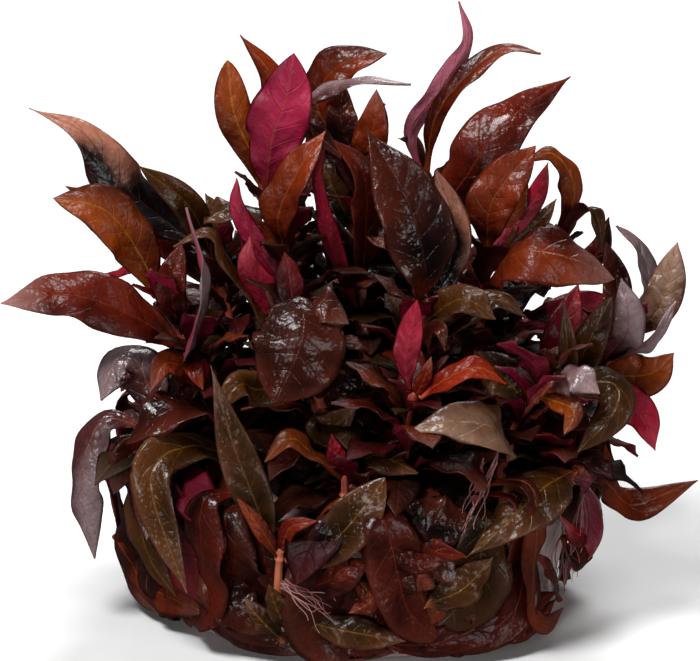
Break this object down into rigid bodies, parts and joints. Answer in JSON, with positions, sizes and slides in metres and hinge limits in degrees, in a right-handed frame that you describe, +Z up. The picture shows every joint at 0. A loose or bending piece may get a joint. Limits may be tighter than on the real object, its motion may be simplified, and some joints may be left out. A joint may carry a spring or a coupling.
{
  "type": "mini alternanthera reineckii",
  "caption": "Clump of dwarf red alternanthera grown in vitro: leafy shoots rising from a round puck of clear gel, with outer leaves hanging down its wall.",
  "frame": {"origin": "centre of the flat underside of the gel puck", "axes": "+Z up along the axis of the puck, +X to the right as the front is seen, -Y to the front"},
  "size_m": [0.0994, 0.0834, 0.0871],
  "materials": {
    "gel": "wet, clear gel with a pink cast",
    "roots": "fine pale pink roots",
    "shoots": "wet pink to orange stems with small leaves",
    "leaf_amber": "wet translucent amber leaf",
    "leaf_rust": "wet rust-brown leaf",
    "leaf_wine": "wet wine-brown leaf, quilted",
    "leaf_ebony": "wet near-black leaf, quilted",
    "leaf_olive": "wet olive-brown leaf",
    "leaf_mauve": "wet mauve-grey leaf",
    "leaf_tan": "wet tan leaf",
    "leaf_flame": "wet orange leaf",
    "leaf_crimson": "magenta underside of a leaf"
  },
  "bodies": {
    "root": {"gel_puck": "gel", "root_mat": "roots", "leaf_left_long": "leaf_wine", "leaf_left_olive": "leaf_amber", "leaf_left_dark": "leaf_ebony", "leaf_crown_left": "leaf_amber", "leaf_crown_magenta": "leaf_rust", "leaf_crown_cup": "leaf_amber", "leaf_crown_arch": "leaf_rust", "leaf_centre_dark": "leaf_ebony", "leaf_tall_thin": "leaf_mauve", "leaf_tall_arched": "leaf_rust", "leaf_broad_right": "leaf_wine", "leaf_right_flame": "leaf_rust", "leaf_right_broad": "leaf_wine", "leaf_far_right": "leaf_rust", "leaf_front_crimson": "leaf_crimson", "leaf_front_orange": "leaf_flame", "leaf_front_tan": "leaf_tan", "leaf_centre_wet": "leaf_ebony", "leaf_low_right": "leaf_olive", "leaf_left_hanging": "leaf_mauve", "leaf_low_left_tall": "leaf_olive", "leaf_low_front": "leaf_olive", "shoot_left": "shoots", "shoot_left_back": "shoots", "shoot_upper_left": "shoots", "shoot_upper_middle": "shoots", "shoot_centre": "shoots", "shoot_upper_right": "shoots", "shoot_right_upper": "shoots", "shoot_right_back": "shoots", "shoot_right": "shoots", "shoot_front": "shoots", "shoot_front_right": "shoots", "shoot_centre_low": "shoots", "shoot_front_low": "shoots", "shoot_low_right": "shoots", "shoot_left_low": "shoots", "shoot_front_left": "shoots", "shoot_rim_1": "shoots", "shoot_rim_2": "shoots", "shoot_rim_3": "shoots", "shoot_rim_4": "shoots", "shoot_rim_5": "shoots", "shoot_rim_6": "shoots", "shoot_rim_7": "shoots", "shoot_rim_8": "shoots", "shoot_rim_9": "shoots", "shoot_rim_10": "shoots", "shoot_rim_11": "shoots", "shoot_back_outer_1": "shoots", "shoot_back_outer_2": "shoots", "shoot_back_outer_3": "shoots", "shoot_back_outer_4": "shoots", "shoot_back_outer_5": "shoots", "shoot_back_inner_1": "shoots", "shoot_back_inner_2": "shoots", "shoot_back_inner_3": "shoots", "shoot_back_inner_4": "shoots"}
  },
  "joints": []
}
